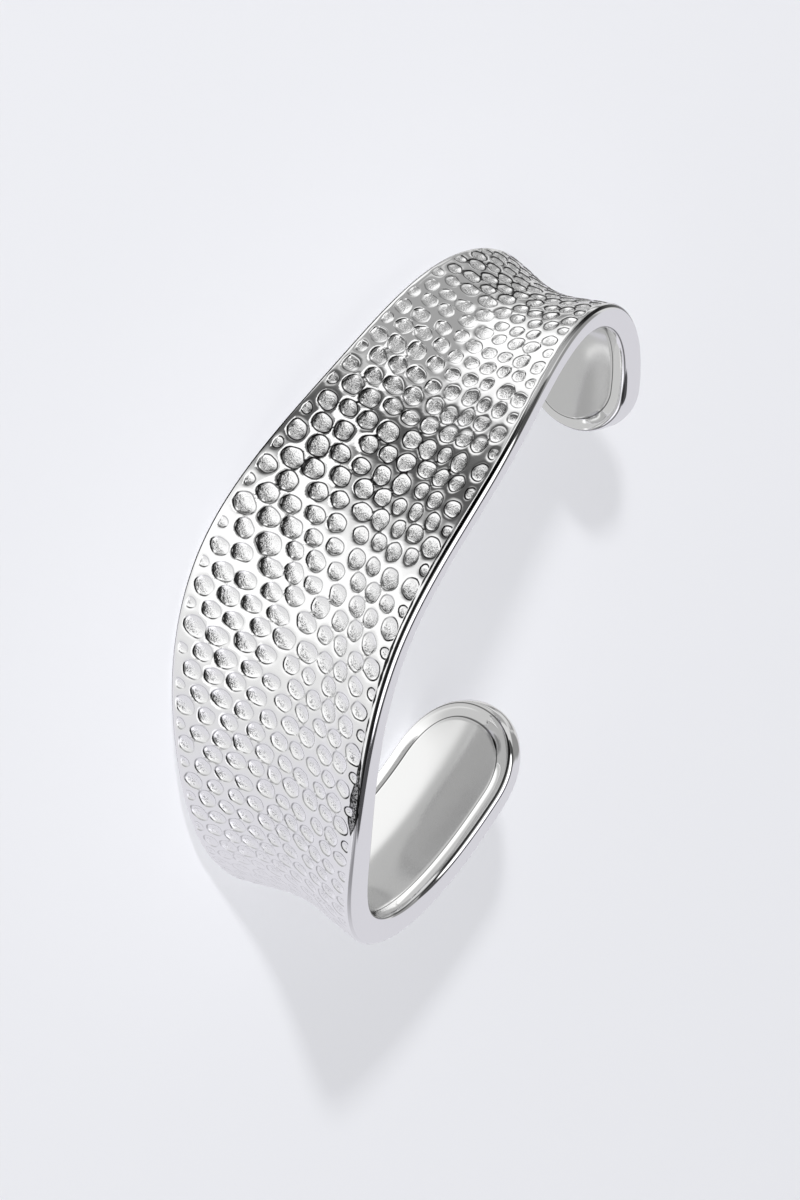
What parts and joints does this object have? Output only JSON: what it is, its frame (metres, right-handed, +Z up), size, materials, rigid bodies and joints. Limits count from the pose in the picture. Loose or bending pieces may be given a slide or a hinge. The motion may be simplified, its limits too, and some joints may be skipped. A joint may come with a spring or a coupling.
{
  "type": "cuff bangle",
  "caption": "Open silver-coloured cuff bangle: a hammered band, widest at the back, with polished rims, a smooth domed inside and rounded ends either side of a gap.",
  "frame": {"origin": "on the ground under the middle of the cuff's overall box", "axes": "+Z up from the ground as the cuff lies on its side, X along the oval's long axis with the longer arm on -X, +Y towards the back of the band, so that the gap between the ends faces -Y"},
  "size_m": [0.0646, 0.0372, 0.0246],
  "materials": {
    "silver": "polished, hammered outside"
  },
  "bodies": {
    "root": {"cuff": "silver"}
  },
  "joints": []
}
